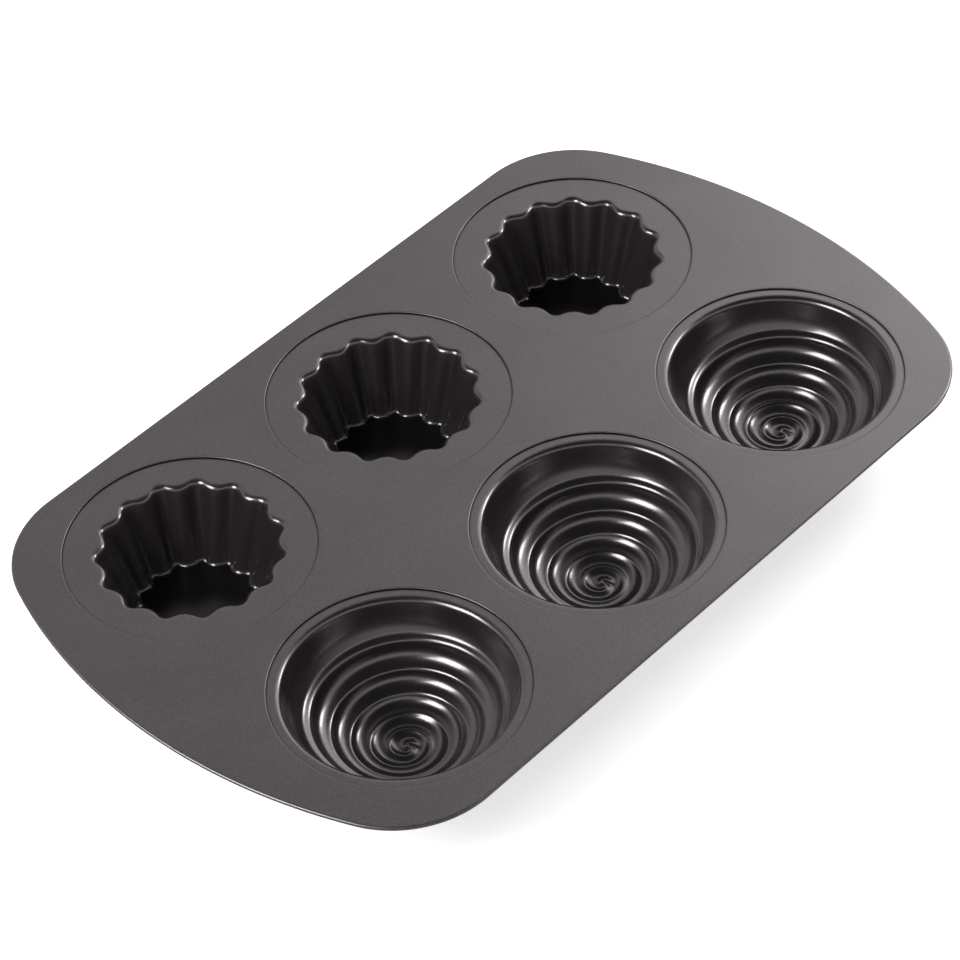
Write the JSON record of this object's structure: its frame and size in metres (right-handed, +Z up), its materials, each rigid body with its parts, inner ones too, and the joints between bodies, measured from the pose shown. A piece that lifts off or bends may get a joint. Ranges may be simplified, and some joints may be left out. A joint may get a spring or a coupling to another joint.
{
  "type": "cupcake pan",
  "caption": "Hemmed steel baking tray with fluted cup cavities beside spiral-domed cavities, for baking two-piece cupcakes with a moulded swirl top.",
  "frame": {"origin": "centre of the footprint, on the plane that the cups stand on", "axes": "+Z up out of the cups, +Y along the tray's length, +X from the fluted cups to the swirl cups"},
  "size_m": [0.235, 0.379, 0.0355],
  "materials": {
    "plate_coating": "satin dark grey non-stick coating on steel sheet",
    "cup_coating": "semi-gloss dark grey non-stick coating on drawn steel"
  },
  "bodies": {
    "root": {"tray_plate": "plate_coating", "fluted_cup_near": "cup_coating", "fluted_cup_middle": "cup_coating", "fluted_cup_far": "cup_coating", "swirl_cup_near": "cup_coating", "swirl_cup_middle": "cup_coating", "swirl_cup_far": "cup_coating"}
  },
  "joints": []
}
